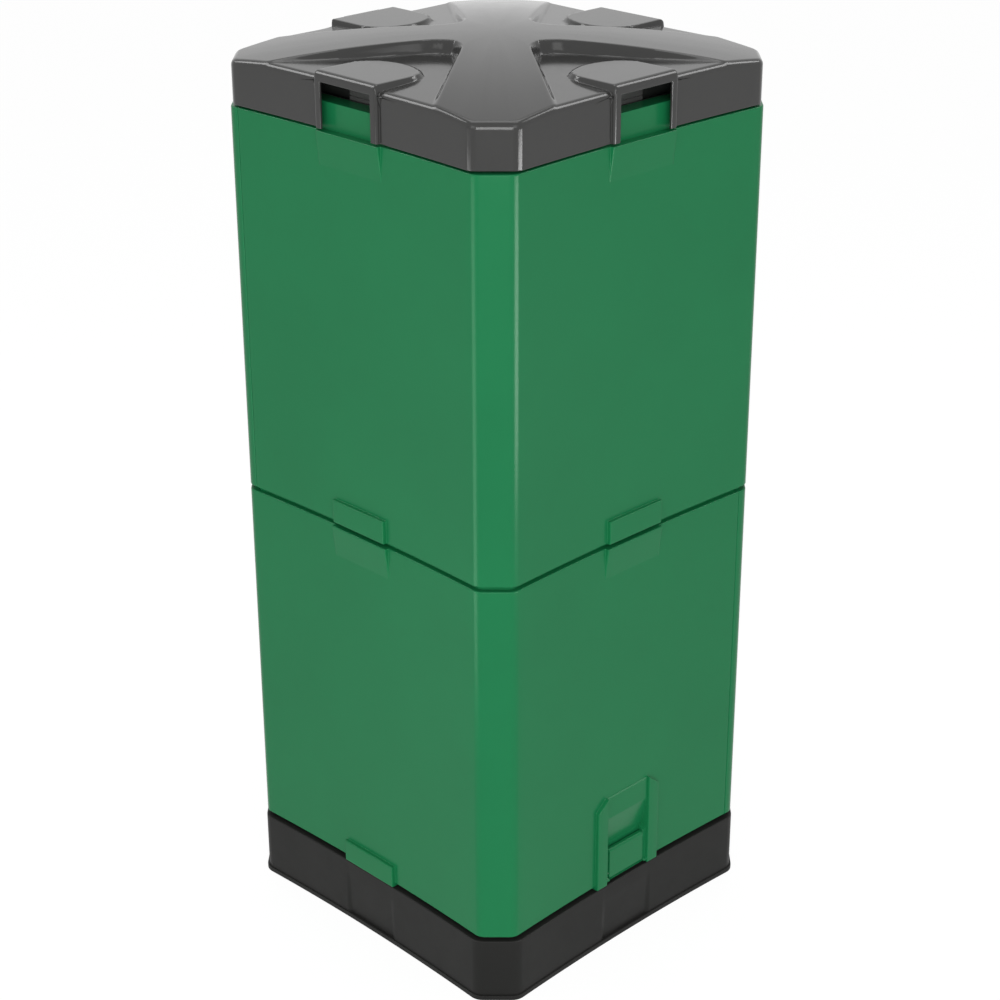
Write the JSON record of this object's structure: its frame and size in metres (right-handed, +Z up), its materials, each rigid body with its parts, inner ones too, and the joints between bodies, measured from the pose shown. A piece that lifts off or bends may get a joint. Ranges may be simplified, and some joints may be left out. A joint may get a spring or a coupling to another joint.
{
  "type": "insulated composter",
  "caption": "Square insulated garden composter: two tiers of green double walls, dark base with a tap, vented core and a hinged, domed lid.",
  "frame": {"origin": "middle of the footprint on the ground", "axes": "+Z up, -Y towards the front with the release clip, +X to the right as seen from the front"},
  "size_m": [0.532, 0.532, 1.256],
  "materials": {
    "green_plastic": "satin moulded green",
    "base_plastic": "dark grey, lightly textured",
    "lid_plastic": "dark grey, semi-gloss",
    "liner_plastic": "dark moulded plastic",
    "foam": "pale bead foam",
    "screw_steel": "zinc-plated steel",
    "rubber_seal": "black rubber",
    "tap_red": "red tap lever",
    "core_plastic": "grey moulded plastic"
  },
  "bodies": {
    "base": {"air_pipe": "liner_plastic", "base_ring": "base_plastic", "base_screws": "screw_steel", "core_cap": "core_plastic", "core_lower": "core_plastic", "core_upper": "core_plastic", "drain_plate_left": "liner_plastic", "drain_plate_right": "liner_plastic", "hinge_pin": "screw_steel", "hinge_wall_leaf": "base_plastic", "hinge_wall_screws": "screw_steel", "lid_ledge": "liner_plastic", "liquid_tray": "liner_plastic", "lower_back_foam": "foam", "lower_back_liner": "liner_plastic", "lower_back_shell": "green_plastic", "seam_screws": "screw_steel", "tap_body": "base_plastic", "tap_gasket": "rubber_seal", "tap_nut": "base_plastic", "tier_screws": "screw_steel", "upper_back_foam": "foam", "upper_back_liner": "liner_plastic", "upper_back_shell": "green_plastic", "upper_front_foam": "foam", "upper_front_liner": "liner_plastic", "upper_front_shell": "green_plastic"},
    "front_panel": {"lower_front_shell": "green_plastic", "lower_front_foam": "foam", "lower_front_liner": "liner_plastic", "clip_housing": "green_plastic", "clip_pin": "screw_steel"},
    "release_clip": {"release_clip": "green_plastic"},
    "lid": {"lid_shell": "lid_plastic", "lid_foam": "foam", "lid_liner": "liner_plastic", "lid_seal": "rubber_seal", "catch_pins": "screw_steel", "hinge_lid_leaf": "base_plastic", "lid_screws": "screw_steel", "hinge_lid_screws": "screw_steel"},
    "catch_front": {"catch_front": "lid_plastic"},
    "catch_left": {"catch_left": "lid_plastic"},
    "catch_right": {"catch_right": "lid_plastic"},
    "tap_lever": {"tap_lever": "tap_red"}
  },
  "joints": [
    {"name": "front_panel_out", "type": "slide", "parent": "base", "child": "front_panel", "axis": [-0.7071, -0.7071, 0], "range_m": [0, 0.2]},
    {"name": "release_clip_turn", "type": "hinge", "parent": "front_panel", "child": "release_clip", "pos_m": [0, -0.252, 0.11], "axis": [1, 0, 0], "range_deg": [0, 12], "stiffness_Nm_per_rad": 0.3, "springref_deg": -8.59},
    {"name": "lid_open", "type": "hinge", "parent": "base", "child": "lid", "pos_m": [0, 0.2608, 1.1565], "axis": [-1, 0, 0], "range_deg": [0, 100]},
    {"name": "catch_front_turn", "type": "hinge", "parent": "lid", "child": "catch_front", "pos_m": [0, -0.214, 1.216], "axis": [1, 0, 0], "range_deg": [0, 8], "stiffness_Nm_per_rad": 0.2, "springref_deg": -11.46},
    {"name": "catch_left_turn", "type": "hinge", "parent": "lid", "child": "catch_left", "pos_m": [-0.214, 0, 1.216], "axis": [0, -1, 0], "range_deg": [0, 8], "stiffness_Nm_per_rad": 0.2, "springref_deg": -11.46},
    {"name": "catch_right_turn", "type": "hinge", "parent": "lid", "child": "catch_right", "pos_m": [0.214, 0, 1.216], "axis": [0, 1, 0], "range_deg": [0, 8], "stiffness_Nm_per_rad": 0.2, "springref_deg": -11.46},
    {"name": "tap_lever_turn", "type": "hinge", "parent": "base", "child": "tap_lever", "pos_m": [0, 0.233, 0.0523], "axis": [0, 0, -1], "range_deg": [0, 90]}
  ]
}
